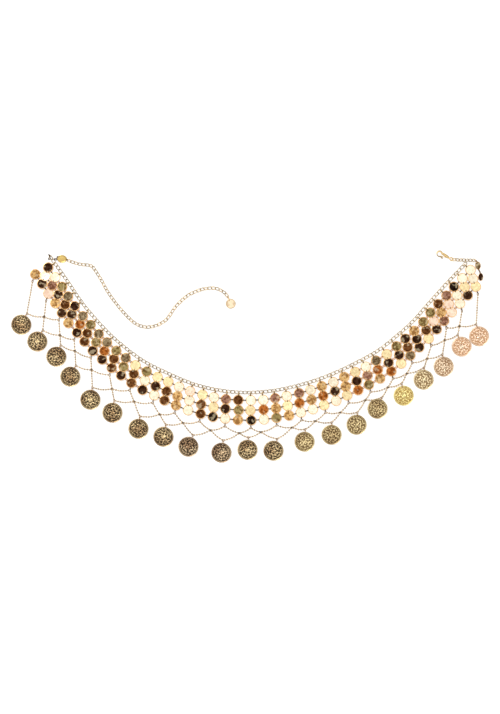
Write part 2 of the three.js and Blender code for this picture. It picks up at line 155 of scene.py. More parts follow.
class Line:
    """A smooth line through points, measured by arc length."""

    def __init__(self, points, steps=24):
        p = [v2(q) for q in points]
        p = [2 * p[0] - p[1]] + p + [2 * p[-1] - p[-2]]
        dense = []
        for i in range(1, len(p) - 2):
            for k in range(steps):
                t = k / steps
                a, b, c, d = p[i - 1], p[i], p[i + 1], p[i + 2]
                dense.append(0.5 * (2 * b + (c - a) * t + (2 * a - 5 * b + 4 * c - d) * t * t
                                    + (3 * b - a - 3 * c + d) * t ** 3))
        dense.append(p[-2])
        self.points = np.array(dense)
        self.along = np.concatenate(([0], np.cumsum(np.linalg.norm(np.diff(self.points, axis=0), axis=1))))
        self.length = self.along[-1]

    def at(self, s):
        i = int(np.clip(np.searchsorted(self.along, s, side="right") - 1, 0, len(self.points) - 2))
        step = self.points[i + 1] - self.points[i]
        t = (s - self.along[i]) / (self.along[i + 1] - self.along[i])
        return self.points[i] + step * t, unit(step)


def hang(swing):
    a = math.radians(swing)
    return np.array((math.sin(a), -math.cos(a)))


waist = Line(WAIST)
columns = []
for c in range(COLUMNS):
    p, t = waist.at(waist.length / 2 + COLUMN_SHIFT + (c - MID_COLUMN) * COLUMN_PITCH)
    out = np.array((t[1], -t[0]))
    drop = unit((DROP_OUT * out[0], -DROP_DOWN + DROP_OUT * out[1]))
    pitch = ROW_PITCH_END + (ROW_PITCH_MID - ROW_PITCH_END) * max(0, 1 - abs(c - MID_COLUMN) / ROW_PITCH_SPREAD)
    row1 = p + out * ROW_1_OFFSET
    centres = [row1, row1 + drop * pitch, row1 + drop * 2 * pitch]
    columns.append({"on_waist": p, "out": out, "drop": drop, "centres": centres, "net": centres[2] + drop * NET_DROP})
uppers = columns[::2]
lowers = [(v2((x, y)) - hang(s) * COIN_REACH, hang(s)) for x, y, s in COINS]

# Where the layout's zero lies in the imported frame
_first = next(j for j in frame["joints"] if j["name"] == "coin_01_swing")
_hinge = lowers[0][0] + lowers[0][1] * RING_REACH
SHIFT = np.array((_first["pos_m"][0] / MM - _hinge[0], _first["pos_m"][1] / MM - _hinge[1], 0.0))


# ---- mesh work ----
def basis(direction, roll=0.0, pitch=0.0):
    """Axes as columns: x along a level direction raised by pitch, y level, then both turned about x by roll."""
    x = np.array((direction[0] * math.cos(pitch), direction[1] * math.cos(pitch), math.sin(pitch)))
    y = np.array((-direction[1], direction[0], 0.0))
    z = np.cross(x, y)
    cr, sr = math.cos(roll), math.sin(roll)
    return np.array((x, y * cr + z * sr, z * cr - y * sr)).T


def grid_faces(rows, cols, close_rows=False):
    """Quads over a grid of rows of cols points, each row closed on itself."""
    out = []
    last = rows if close_rows else rows - 1
    for i in range(last):
        j = (i + 1) % rows
        for k in range(cols):
            m = (k + 1) % cols
            out.append((i * cols + k, j * cols + k, j * cols + m, i * cols + m))
    return out


def wire_loop(length, width, wire, around=14, section=6):
    """A closed link of round wire: straight sides and round ends, lying in x and y."""
    r = width / 2 - wire
    straight = max(0.0, length / 2 - wire - r)
    pts, normals = [], []
    for k in range(around):
        a = 2 * math.pi * (k + 0.5) / around
        n = np.array((math.cos(a), math.sin(a), 0.0))
        pts.append(n * r + np.array((math.copysign(straight, n[0]), 0.0, 0.0)))
        normals.append(n)
    verts = []
    for p, n in zip(pts, normals):
        for j in range(section):
            b = 2 * math.pi * j / section
            verts.append(p + n * wire * math.cos(b) + np.array((0, 0, wire * math.sin(b))))
    return np.array(verts), grid_faces(around, section, True)


def standing_ring():
    """The ring that stands up through a coin's hole."""
    across = 2 * (RING_R + RING_WIRE)
    return wire_loop(across, across, RING_WIRE, 24, 8)


def tube(path, radii, section=10, flat=1.0):
    """A swept bar along level points, closed at both ends; flat squeezes its height."""
    path = [np.array(p, float) for p in path]
    verts = []
    for i, p in enumerate(path):
        a, b = path[max(0, i - 1)], path[min(len(path) - 1, i + 1)]
        n = side(unit((b - a)[:2]))
        for j in range(section):
            g = 2 * math.pi * j / section
            verts.append((p[0] + n[0] * radii[i] * math.cos(g), p[1] + n[1] * radii[i] * math.cos(g),
                          p[2] + radii[i] * flat * math.sin(g)))
    faces = [tuple(reversed(f)) for f in grid_faces(len(path), section)]
    n = len(verts)
    verts += [tuple(path[0]), tuple(path[-1])]
    last = (len(path) - 1) * section
    for j in range(section):
        m = (j + 1) % section
        faces.append((n, j, m))
        faces.append((n + 1, last + m, last + j))
    return np.array(verts), faces


def plate(rx, ry, heights, thick, around=32):
    """A round or oval plate from a list of (radius share, height) for its top; the underside is hollowed to match."""
    rings = [(r, h) for r, h in heights] + [(1.0, -thick * 0.5)] + [(r, h - thick) for r, h in reversed(heights)][1:]
    verts = []
    for r, h in rings:
        for k in range(around):
            a = 2 * math.pi * k / around
            verts.append((rx * r * math.cos(a), ry * r * math.sin(a), h))
    faces = grid_faces(len(rings), around)
    n = len(verts)
    verts += [(0, 0, heights[0][1]), (0, 0, heights[0][1] - thick)]
    last = (len(rings) - 1) * around
    for k in range(around):
        m = (k + 1) % around
        faces.append((n, k, m))
        faces.append((n + 1, last + m, last + k))
    return np.array(verts), faces


class Metalwork:
    """Gathers many small shapes into one mesh, each with a tone and a share of relief at every point."""

    def __init__(self):
        self.verts, self.faces, self.tones, self.relief, self.count = [], [], [], [], 0

    def add(self, shape, origin, axes=None, tone=(1, 1, 1), relief=None):
        verts, faces = shape
        if axes is not None:
            verts = verts @ axes.T
        self.verts.append(verts + np.array(origin, float) + SHIFT)
        self.faces += [tuple(i + self.count for i in f) for f in faces]
        self.tones.append(np.tile(np.array((*tone, 1.0)[:4], np.float32), (len(verts), 1)))
        self.relief.append(np.zeros(len(verts)) if relief is None else relief)
        self.count += len(verts)

    def build(self, name, material):
        mesh = bpy.data.meshes.new(name)
        mesh.from_pydata((np.concatenate(self.verts) * MM).tolist(), [], self.faces)
        layer = mesh.attributes.new("tone", "FLOAT_COLOR", "POINT")
        layer.data.foreach_set("color", np.concatenate(self.tones).astype(np.float32).ravel())
        high = mesh.attributes.new("relief", "FLOAT", "POINT")
        high.data.foreach_set("value", np.concatenate(self.relief).astype(np.float32))
        mesh.polygons.foreach_set("use_smooth", [True] * len(mesh.polygons))
        mesh.materials.append(material)
        mesh.update()
        piece = bpy.data.objects.new(name, mesh)
        bpy.context.scene.collection.objects.link(piece)
        return piece


def settle(piece, body, slot, *nodes):
    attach(piece, body)
    if nodes:
        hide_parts(*nodes)


def nodes_named(prefix):
    found = sorted(n for n in frame["nodes"] if n.startswith(prefix))
    if not found:
        raise RuntimeError(f"no node of the frame starts with {prefix}")
    return found


# ---- finishes ----
class Signal:
    """One output socket, with the operators the finishes use."""

    def __init__(self, finish, socket):
        self.finish, self.socket = finish, socket

    def _calc(self, operation, a, b):
        return self.finish.node("ShaderNodeMath", {"operation": operation}, {0: a, 1: b})

    def __add__(self, other):
        return self._calc("ADD", self, other)

    def __sub__(self, other):
        return self._calc("SUBTRACT", self, other)

    def __rsub__(self, other):
        return self._calc("SUBTRACT", other, self)

    def __mul__(self, other):
        return self._calc("MULTIPLY", self, other)

    __radd__ = __add__


class Finish:
    """A metal finish, built node by node."""

    def __init__(self, name):
        self.material = bpy.data.materials.new(name)
        self.material.use_nodes = True
        self.tree = self.material.node_tree
        self.shader = self.tree.nodes["Principled BSDF"]

    def node(self, kind, settings=None, sockets=None, output=0):
        made = self.tree.nodes.new(kind)
        for key, value in (settings or {}).items():
            if key == "stops":
                ramp = made.color_ramp
                while len(ramp.elements) < len(value):
                    ramp.elements.new(1.0)
                for element, (at, colour) in zip(ramp.elements, value):
                    element.position, element.color = at, colour
            else:
                setattr(made, key, value)
        for key, value in (sockets or {}).items():
            if isinstance(value, Signal):
                self.tree.links.new(value.socket, made.inputs[key])
            else:
                made.inputs[key].default_value = value
        return Signal(self, made.outputs[output])

    def put(self, socket, value):
        if isinstance(value, Signal):
            self.tree.links.new(value.socket, self.shader.inputs[socket])
        else:
            self.shader.inputs[socket].default_value = value

    def place(self):
        return self.node("ShaderNodeTexCoord", output="Object")

    def noise(self, scale, detail=3.0, rough=0.6):
        return self.node("ShaderNodeTexNoise", {"noise_dimensions": "3D"},
                         {"Vector": self.place(), "Scale": scale, "Detail": detail, "Roughness": rough}, "Fac")

    def tone(self, part="Color"):
        return self.node("ShaderNodeAttribute", {"attribute_name": "tone"}, output=part)

    def relief(self):
        return self.node("ShaderNodeAttribute", {"attribute_name": "relief"}, output="Fac")

    def times(self, a, b):
        return self.mix(1.0, a, b, "MULTIPLY")

    def mix(self, mask, a, b, blend="MIX"):
        return self.node("ShaderNodeMix", {"data_type": "RGBA", "blend_type": blend, "clamp_factor": True},
                         {0: mask, 6: a, 7: b}, 2)

    def band(self, value, low, high):
        return self.node("ShaderNodeMapRange", {"interpolation_type": "SMOOTHSTEP", "clamp": True},
                         {"Value": value, "From Min": low, "From Max": high})

    def bump(self, height, strength, distance):
        return self.node("ShaderNodeBump", None, {"Strength": strength, "Distance": distance, "Height": height})


def rgb(colour):
    return (*colour[:3], 1.0)


def plated_finish(name, colour, roughness, tarnish=0.25, wear=0.12):
    """Bright plating: its colour drifts a little, rubs dull in patches and carries hair-fine scratches."""
    f = Finish(name)
    drift = f.noise(180.0, 3.0)
    stain = f.band(f.noise(900.0, 4.0, 0.65), 0.52, 0.72) * tarnish
    base = f.times(f.tone(), rgb(colour))
    warm = f.mix(f.band(drift, 0.35, 0.7) * 0.35, base, f.times(base, (0.96, 0.80, 0.58, 1)))
    f.put("Base Color", f.mix(stain, warm, f.times(warm, (0.42, 0.30, 0.20, 1))))
    f.put("Metallic", 1.0)
    f.put("Roughness", roughness + f.band(f.noise(420.0, 2.0), 0.4, 0.8) * wear)
    scratch = f.noise(3200.0, 2.0, 0.7)
    f.put("Normal", f.bump(scratch, 0.12, 0.00006))
    return f.material


def disc_finish(name, colour, rim):
    """Mirror plating on the discs: painted reflection as cloudy light and dark patches inside, a painted highlight on
    the raised rim, a faint ripple.
    """
    f = Finish(name)
    base = f.times(f.tone(), rgb(colour))
    # painted reflection: cloudy dark patches like those a mirror face shows, strongest where the tone's fourth number
    # is 1
    painted_reflection_cloud = f.band(f.noise(330.0, 3.0, 0.6), 0.43, 0.57)
    painted_reflection_colour = f.mix((1 - painted_reflection_cloud) * f.tone("Alpha"), base, f.times(base, (0.42, 0.32, 0.24, 1)))
    # painted highlight: warm light glints mixed into the faces, mostly on the dark discs
    painted_glint = f.band(f.noise(210.0, 1.5, 0.5), 0.57, 0.66) * f.tone("Alpha")
    painted_reflection_colour = f.mix(painted_glint * 0.30, painted_reflection_colour, (0.95, 0.78, 0.50, 1))
    painted_reflection_colour = f.mix(f.band(f.noise(1300.0, 3.0), 0.62, 0.80) * 0.4, painted_reflection_colour, f.times(painted_reflection_colour, (0.45, 0.32, 0.22, 1)))
    # painted highlight: the raised rim, found from the relief share, is painted in the bright rim colour
    edge = f.band(f.relief() + f.noise(700.0, 2.0) * 0.5, 0.75, 1.15)
    f.put("Base Color", f.mix(edge * 0.9, painted_reflection_colour, rgb(rim)))
    f.put("Metallic", 1.0)
    f.put("Roughness", 0.13 + f.noise(500.0, 2.0) * 0.12)
    ripple = f.noise(240.0, 2.0, 0.5) + f.noise(2600.0, 2.0) * 0.10
    f.put("Normal", f.bump(ripple, 0.5, 0.0004))
    return f.material


def struck_finish(colour, recess):
    """Antique plating on the coins: bright on the high relief, dark and dull in the hollows, with pale specks of
    painted highlight all over and broad patches of painted shade.
    """
    f = Finish("antique_coin_plating")
    grain = f.noise(1000.0, 3.0, 0.65)
    shine = f.band(f.relief() + (grain - 0.5) * 1.1, 0.26, 0.56)
    gold = f.times(f.tone(), rgb(colour))
    # painted highlight: pale gold specks standing for glints
    painted_glint_specks = f.mix(f.band(f.noise(1500.0, 2.0), 0.50, 0.62) * 0.75, gold, f.mix(0.6, gold, (1.0, 0.90, 0.66, 1)))
    hollow = f.mix(f.tone("Alpha"), f.times(gold, (0.66, 0.50, 0.36, 1)), f.mix(0.07, rgb(recess), gold))
    struck = f.mix(shine, hollow, painted_glint_specks)
    # painted shade: broad darker purple-brown patches, strongest where the tone's fourth number is 1
    painted_shade_patches = f.band(f.noise(60.0, 2.0, 0.5), 0.42, 0.62) * f.tone("Alpha")
    f.put("Base Color", f.mix(painted_shade_patches * 0.8, struck, f.times(struck, (0.52, 0.42, 0.37, 1))))
    f.put("Metallic", 0.8 + shine * 0.2)
    f.put("Roughness", 0.50 - shine * 0.24)
    f.put("Normal", f.bump(grain + f.noise(2600.0, 3.0) * 0.5, 0.6, 0.00020))
    return f.material


def size_property(name, description, default):
    return bpy.props.FloatProperty(name=name, description=description, default=default, unit="LENGTH")


def colour_property(name, description, default):
    return bpy.props.FloatVectorProperty(name=name, description=description, default=default, subtype="COLOR",
                                         min=0, max=1)


class CoinBeltSizes(bpy.types.PropertyGroup):
    """Sizes a maker would change."""

    disc: size_property("Disc", "Diameter of the linked discs", 0.0134)
    disc_sheet: size_property("Disc sheet", "Thickness of the linked discs", 0.0005)
    disc_tilt: bpy.props.FloatProperty(name="Disc tilt", description="How far each disc leans on the next row",
                                       default=math.radians(5.5), subtype="ANGLE")
    coin: size_property("Coin", "Diameter of the fringe coins", 0.0256)
    coin_sheet: size_property("Coin sheet", "Thickness of a coin at its rim", 0.001)
    waist_link: size_property("Waist link", "Spacing of the waist chain's links", 0.00525)
    extension_link: size_property("Extension link", "Spacing of the extension chain's links", 0.0049)
    net_link: size_property("Net link", "Spacing of the net chain's links", 0.0032)


class CoinBeltColours(bpy.types.PropertyGroup):
    """Colours of the plating."""

    chain: colour_property("Chain", "Plating of the waist and extension chains", (0.82, 0.60, 0.29))
    net: colour_property("Net", "Plating of the fine net chain", (0.50, 0.38, 0.24))
    disc: colour_property("Discs", "Tint over the disc tones", (1.0, 0.98, 0.94))
    # painted highlight: the bright colour painted on the discs' raised rims
    disc_rim_highlight: colour_property("Disc rims", "Bright raised rim of the discs", (0.90, 0.53, 0.235))
    joint_ring: colour_property("Jump rings", "Plating of the rings between the discs", (0.25, 0.135, 0.048))
    coin: colour_property("Coins", "Tint over the coin tones", (1.0, 1.0, 1.0))
    recess: colour_property("Recesses", "Antique colour in the coins' hollows", (0.034, 0.020, 0.010))
    tag: colour_property("Tag", "Plating of the tag and the end disc", (0.66, 0.48, 0.17))
    floor: colour_property("Floor", "The pale floor", (0.93, 0.93, 0.93))


def cable(loop, bright, dim, swing=0.0):
    """The two kinds of link of a cable chain: one loop rolled and swung to either side, each with its own painted
    shade, bright for the first kind and dim for the second.
    """
    return (loop, LINK_ROLL, swing, bright), (loop, -LINK_ROLL, -swing, dim)


def lay_links(work, line, start, end, pitch, flat, edge_on, z, tone, seed=1):
    """Lays a chain along a line, two kinds of link in turn, each pair taking one pitch. Each kind is given
    as its shape, roll, swing and shade; the shade is painted shade on the one plating, spread a little at random."""
    rng = random.Random(seed)
    count = max(1, round((end - start) / pitch))
    for i in range(2 * count - 1):
        shape, roll, swing, shade = (flat, edge_on)[i % 2]
        p, t = line.at(start + (i + 1) * (end - start) / (2 * count))
        turn = math.radians(rng.uniform(-5, 5)) + swing
        ct, st = math.cos(turn), math.sin(turn)
        t = np.array((t[0] * ct - t[1] * st, t[0] * st + t[1] * ct))
        # painted shade for this kind of link, spread a little at random
        shade *= rng.uniform(0.82, 1.12)
        axes = basis(t, roll + rng.uniform(-0.1, 0.1))
        work.add(shape, (p[0], p[1], z), axes, tuple(min(1.0, q * shade) for q in tone))


class COINBELT_OT_waist_chain(bpy.types.Operator):
    """Builds the waist chain from flat oval links"""

    bl_idname = "coinbelt.waist_chain"
    bl_label = "Waist Chain"

    def execute(self, context):
        sizes, colours = context.scene.coin_belt_sizes, context.scene.coin_belt_colours
        work = Metalwork()
        pitch = sizes.waist_link / MM
        loop = wire_loop(pitch + 1.5, 4.9, 0.42, 20, 7)
        # painted shade: the links rolled one way are drawn at 0.62, those rolled the other way darker at 0.48
        lay_links(work, waist, -2.0, waist.length + 2.0, 2 * pitch, *cable(loop, 0.62, 0.48), 1.5, (1, 1, 1))
        first, along = waist.at(0.0)
        dark = tuple(0.35 * q / max(c, 0.01) for q, c in zip(colours.joint_ring, colours.chain))
        work.add(wire_loop(4.8, 3.6, 0.55, 18, 7), (*first, 1.9), basis(along, 1.15), dark)
        beside = first + along * 3.2 + side(along) * -2.6
        work.add(wire_loop(4.0, 3.2, 0.45, 16, 7), (*beside, 1.2), basis(side(along), 0.6), dark)
        piece = work.build("waist_chain_links", plated_finish("champagne_chain_plating", colours.chain, 0.24))
        settle(piece, "belt", "waist_chain", *nodes_named("waist_chain"))
        return {"FINISHED"}


class COINBELT_OT_discs(bpy.types.Operator):
    """Builds the three rows of dished discs and the jump rings that link them"""

    bl_idname = "coinbelt.discs"
    bl_label = "Linked Discs"

    def execute(self, context):
        sizes, colours = context.scene.coin_belt_sizes, context.scene.coin_belt_colours
        radius, sheet = sizes.disc / MM / 2, sizes.disc_sheet / MM
        mirror = disc_finish("mirror_disc_plating", colours.disc, colours.disc_rim_highlight)
        dull = plated_finish("jump_ring_plating", (1, 1, 1), 0.30, 0.4)
        shape = plate(radius, radius, DISC_FACE, sheet, 36)
        # share of the raised rim, which the disc finish paints with a highlight
        edge = np.clip((np.linalg.norm(shape[0][:, :2], axis=1) / radius - 0.76) / 0.12, 0, 1)
        rng = random.Random(41)
        ring_tone = tuple(colours.joint_ring)
        dark = tuple(q * 0.6 for q in ring_tone)
        for row in range(ROWS):
            discs, rings = Metalwork(), Metalwork()
            for c, col in enumerate(columns):
                if c < FIRST_COLUMN[row]:
                    continue
                at, drop = col["centres"][row], col["drop"]
                zone = next(z for z in ZONES if z[0] <= c <= z[1])
                names = zone[2][row].split()
                # the disc's tone from the table, partly painted reflection
                base = DISC_TONES_AND_REFLECTIONS[names[(c - zone[0]) % len(names)]]
                shade = rng.uniform(0.88, 1.1)
                tone = (*(min(1.0, q * shade) for q in base[:3]), *base[3:])
                tilt = sizes.disc_tilt + math.radians(rng.uniform(-1.4, 1.4))
                discs.add(shape, (at[0] + rng.uniform(-0.5, 0.5), at[1] + rng.uniform(-0.3, 0.3), DISC_Z),
                          basis(drop, math.radians(rng.uniform(-3.5, 3.5)), tilt), tone, edge)
                up = -col["out"] if row == 0 else -drop
                reach = ROW_1_OFFSET if row == 0 else np.linalg.norm(at - col["centres"][row - 1])
                if row == 0:
                    mid, length = at + up * (radius + (reach - radius) / 2 - 0.4), reach - radius + 1.7
                    rings.add(wire_loop(length, 2.5, 0.36, 14, 6), (*mid, 1.5), basis(up, 0.9), colours.chain)
                    rings.add(wire_loop(3.0, 2.5, 0.5, 14, 6), (*(at + up * (radius - 0.1)), 1.45),
                              basis(up, 1.2), dark)
                elif c >= FIRST_COLUMN[row - 1]:
                    rings.add(wire_loop(max(3.0, reach - 2 * radius + 2.9), 2.8, 0.45, 14, 6),
                              (*(at + up * reach / 2), 1.55), basis(up, 1.35), ring_tone)
                if c + 1 < COLUMNS:
                    step = columns[c + 1]["centres"][row] - at
                    far = np.linalg.norm(step)
                    warm = any(c in stretch for stretch in WARM_COLUMNS)
                    rings.add(wire_loop(far - 2 * radius + 3.0, 3.0, 0.5, 14, 6), (*(at + step / 2), 1.55),
                              basis(step / far, 0.5 if warm else 1.3), WARM_RING if warm else dark)
            piece = discs.build(f"disc_row_{row + 1}_plates", mirror)
            settle(piece, "belt", "discs", *nodes_named(f"disc_row_{row + 1}"))
            piece = rings.build(f"disc_row_{row + 1}_rings", dull)
            settle(piece, "belt", "discs")

        pair, rings = Metalwork(), Metalwork()
        (ax, ay, _, ah), (bx, by, _, bh) = END_PAIR
        for (x, y, w, h), name, lean in ((END_PAIR[0], "grey", 0.10), (END_PAIR[1], "dark", -0.08)):
            oval = plate(w, h, DISC_FACE, sheet, 36)
            # share of the raised rim, which the disc finish paints with a highlight
            share = np.hypot(oval[0][:, 0] / w, oval[0][:, 1] / h)
            pair.add(oval, (x, y, 1.2), basis((1.0, lean), lean), DISC_TONES_AND_REFLECTIONS[name], np.clip((share - 0.86) / 0.08, 0, 1))
        start = v2(CLASP_CHAIN_START)
        links = [(v2((ax - 1.4, ay + ah + 0.2)), start + (1.0, -0.2), 3.0),
                 (v2((ax + 0.8, ay - ah + 0.3)), v2((bx - 0.4, by + bh - 0.3)), 2.4)]
        for a, b, width in links:
            far = np.linalg.norm(b - a)
            rings.add(wire_loop(far + 1.6, width, 0.42, 14, 6), (*((a + b) / 2), 1.5),
                      basis((b - a) / far, 0.9), ring_tone)
        piece = pair.build("disc_end_pair_plates", mirror)
        settle(piece, "belt", "discs", "disc_end_pair")
        piece = rings.build("disc_end_pair_rings", dull)
        settle(piece, "belt", "discs")
        return {"FINISHED"}


class COINBELT_OT_net(bpy.types.Operator):
    """Builds the net of fine chain, its crossing rings and the coins' jump rings"""

    bl_idname = "coinbelt.net"
    bl_label = "Chain Net"

    def execute(self, context):
        sizes, colours = context.scene.coin_belt_sizes, context.scene.coin_belt_colours
        work = Metalwork()
        pitch = sizes.net_link / MM
        # painted shade: the edge-on links are drawn a little darker than the flat ones, 0.9 against 1.0
        flat = (wire_loop(pitch - 1.0, 2.4, 0.50, 10, 5), 0.15, 0.0, 1.0)
        edge_on = (wire_loop(2.3, 1.2, 0.18, 10, 5), 1.45, 0.0, 0.9)
        small = wire_loop(3.0, 3.0, 0.38, 14, 6)
        loop = wire_loop(4.2, 2.4, 0.36, 14, 6)
        stand = standing_ring()
        dark = tuple(q * 0.5 for q in colours.joint_ring)
        rng = random.Random(7)

        def strand(a, b, seed):
            a, b = v2(a), v2(b)
            mid = (a + b) / 2 + np.array((0.0, -0.3 - 0.06 * abs(b[0] - a[0])))
            line = Line([a, mid, b], 10)
            lay_links(work, line, 0.2, line.length - 0.2, pitch, flat, edge_on, 0.9, (1, 1, 1), seed)

        def crossing(i):
            a, b = uppers[i]["net"], uppers[i + 1]["net"]
            d1, d2, w = lowers[i][0] - a, lowers[i - 1][0] - b, b - a
            return a + d1 * (w[0] * d2[1] - w[1] * d2[0]) / (d1[0] * d2[1] - d1[1] * d2[0])

        for u in uppers:
            work.add(loop, (*(u["net"] - u["drop"] * (NET_DROP - 6.6)), 1.25), basis(u["drop"], 1.2), dark)
            work.add(small, (*u["net"], 0.9), basis(u["drop"], rng.uniform(-0.3, 0.3)), tuple(colours.net))
        strand(uppers[0]["net"], lowers[0][0], 90)
        strand(uppers[22]["net"], lowers[20][0], 91)
        for i in range(1, 21):
            x = crossing(i)
            strand(uppers[i]["net"], x, 4 * i)
            strand(x, lowers[i][0], 4 * i + 1)
            strand(uppers[i + 1]["net"], x, 4 * i + 2)
            strand(x, lowers[i - 1][0], 4 * i + 3)
            work.add(wire_loop(2.9, 2.3, 0.48, 12, 6), (*x, 1.1), basis((1, 0), rng.uniform(-0.5, 0.5)), dark)
        for vertex, way in lowers:
            ring_at = vertex + way * RING_REACH
            work.add(stand, (*ring_at, RING_Z), basis(way, math.pi / 2), tuple(colours.chain))
            work.add(wire_loop(3.4, 2.2, 0.34, 12, 6), (*(vertex + way * 0.3), 0.8), basis(way, 0.25),
                     tuple(colours.net))
        piece = work.build("net_chain_links", plated_finish("net_chain_plating", NET_PLATING, 0.28))
        settle(piece, "belt", "net_chain", *nodes_named("net_"))
        return {"FINISHED"}


def scrollwork(x, y, kind):
    """Height share of the struck ornament over a unit disc: a flower, curled leaves around it and small berries."""
    rng = random.Random(60 + kind)
    high = np.zeros_like(x)

    def leaf(out, at, turn, length, width, curl):
        cx, cy = out * math.cos(at), out * math.sin(at)
        u = (x - cx) * math.cos(turn) + (y - cy) * math.sin(turn)
        v = (y - cy) * math.cos(turn) - (x - cx) * math.sin(turn) - curl * (u * u - length * length / 3)
        taper = np.sqrt(np.clip(1 - (u / length) ** 2, 1e-6, 1))
        body = np.sqrt(np.clip(1 - (v / (width * taper)) ** 2, 0, 1)) * (np.abs(u) < length)
        return body * (1 - 0.55 * np.exp(-(v / (0.2 * width)) ** 2))

    petals = (6, 7, 5)[kind % 3]
    for k in range(petals):
        at = 2 * math.pi * k / petals + 0.3
        high = np.maximum(high, leaf(0.17, at, at + 0.25, 0.125, 0.075, 1.5))
    for count, out, length, width, lean in LEAVES:
        for k in range(count):
            at = 2 * math.pi * (k + rng.uniform(-0.22, 0.22)) / count + out * 7
            way = lean if k % 2 else -lean
            level, place = rng.uniform(0.75, 1.0), out + rng.uniform(-0.03, 0.03)
            turn, reach = at + way + rng.uniform(-0.35, 0.35), length * rng.uniform(0.85, 1.15)
            curl = rng.uniform(1.0, 3.5) * (1 if k % 2 else -1)
            high = np.maximum(high, level * leaf(place, at, turn, reach, width, curl))
    for _ in range(BERRIES):
        out, at, size = math.sqrt(rng.uniform(0.04, 0.68)), rng.uniform(0, 2 * math.pi), rng.uniform(0.022, 0.038)
        far = np.hypot(x - out * math.cos(at), y - out * math.sin(at))
        high = np.maximum(high, 0.85 * np.sqrt(np.clip(1 - (far / size) ** 2, 0, 1)))
    return np.maximum(high, 0.9 * np.sqrt(np.clip(1 - (np.hypot(x, y) / 0.07) ** 2, 0, 1)))


def coin_relief(r, a, kind):
    """Height share 0 to 1 over a struck face: scrollwork inside a beaded border and a plain rim."""
    beads = np.exp(-((r - 0.895) / 0.030) ** 2) * (0.35 + 0.65 * np.cos(a * 26) ** 2)
    rim = 1 / (1 + np.exp(-(r - 0.950) * 160))
    field = scrollwork(r * np.cos(a), r * np.sin(a), kind) * (r < 0.865)
    return np.clip(np.maximum(np.maximum(rim, 0.85 * beads), field), 0, 1)


def coin_shape(radius, sheet, kind, around=132, rings=42):
    """A struck coin in its own plane, its centre at zero, with the relief share of every point."""
    high = 0.40
    verts, relief, rows = [], [], 0
    a = 2 * np.pi * np.arange(around) / around
    front = np.concatenate((np.linspace(0.03, 0.975, rings), (0.99, 1.0)))
    back = np.concatenate(((1.0, 0.99), np.linspace(0.975, 0.03, 18)))
    for face, shares in ((1, front), (-1, back)):
        for r in shares:
            h = coin_relief(np.full(around, r), a * face, kind)
            edge = 0.12 if r > 0.995 else 0.0
            z = face * (sheet / 2 - high * (1 - h) * (0.5 if face < 0 else 1.0) - edge)
            verts.append(np.stack((radius * r * np.cos(a), radius * r * np.sin(a), z), 1))
            relief.append(h)
            rows += 1
    faces = [tuple(f) for f in grid_faces(rows, around)]
    verts = np.concatenate(verts)
    n, last = len(verts), (rows - 1) * around
    verts = np.concatenate((verts, ((0, 0, sheet / 2), (0, 0, -sheet / 2))))
    for k in range(around):
        m = (k + 1) % around
        faces += [(n, k, m), (n + 1, last + m, last + k)]
    return verts, faces, np.concatenate(relief + [np.array((0.9, 0.9))])


def pierce(verts, faces, relief, centre, hole, section=12):
    """Opens a hole for the ring: points inside it are drawn out to its edge, and a short wall joins the two faces."""
    away = verts[:, :2] - centre
    far = np.linalg.norm(away, axis=1)
    inside = far < hole * 1.02
    kept = [f for f in faces if not all(inside[list(f)])]
    used = sorted({i for f in kept for i in f})
    new = {old: k for k, old in enumerate(used)}
    verts = verts.copy()
    for i in used:
        if inside[i]:
            verts[i, :2] = centre + away[i] / max(far[i], 1e-6) * hole
    faces = [tuple(new[i] for i in f) for f in kept]
    half, base = np.abs(verts[used, 2]).max(), len(used)
    wall = [(centre[0] + hole * math.cos(g), centre[1] + hole * math.sin(g), z) for z in (half * 0.8, -half * 0.8)
            for g in (2 * math.pi * k / section for k in range(section))]
    for k in range(section):
        m = (k + 1) % section
        faces.append((base + k, base + section + k, base + section + m, base + m))
    return np.concatenate((verts[used], wall)), faces, np.concatenate((relief[used], np.full(2 * section, 0.7)))


def tipped(way, reach, half):
    """Axes and height that lay a threaded plate's far edge on the floor."""
    tip = math.asin((RING_Z - half) / reach)
    return basis(way, 0.0, -tip), RING_Z - half * (1 - math.cos(tip))


class COINBELT_OT_coins(bpy.types.Operator):
    """Builds the fringe of struck coins, each threaded on its ring"""

    bl_idname = "coinbelt.coins"
    bl_label = "Fringe Coins"

    def execute(self, context):
        sizes, colours = context.scene.coin_belt_sizes, context.scene.coin_belt_colours
        radius, sheet = sizes.coin / MM / 2, sizes.coin_sheet / MM
        finish = struck_finish(colours.coin, colours.recess)
        rng = random.Random(23)
        blanks = [coin_shape(radius, sheet, kind) for kind in range(3)]
        for i, (vertex, way) in enumerate(lowers):
            verts, faces, relief = blanks[i % 3]
            turn = rng.uniform(0, 2 * math.pi)
            ct, st = math.cos(turn), math.sin(turn)
            verts = verts @ np.array(((ct, st, 0), (-st, ct, 0), (0, 0, 1)))
            centre = np.array((RING_R - COIN_LIP - radius, 0.0))
            verts, faces, relief = pierce(verts, faces, relief, centre, HOLE_R)
            verts[:, 0] += COIN_LIP + radius
            axes, z = tipped(way, COIN_LIP + 2 * radius, sheet / 2)
            work = Metalwork()
            work.add((verts, faces), (*(vertex + way * RING_REACH), z), axes, COIN_TONES[COIN_RUN[i]], relief)
            name = f"coin_{i + 1:02d}"
            piece = work.build(f"{name}_struck", finish)
            settle(piece, name, "coins", name)
        return {"FINISHED"}


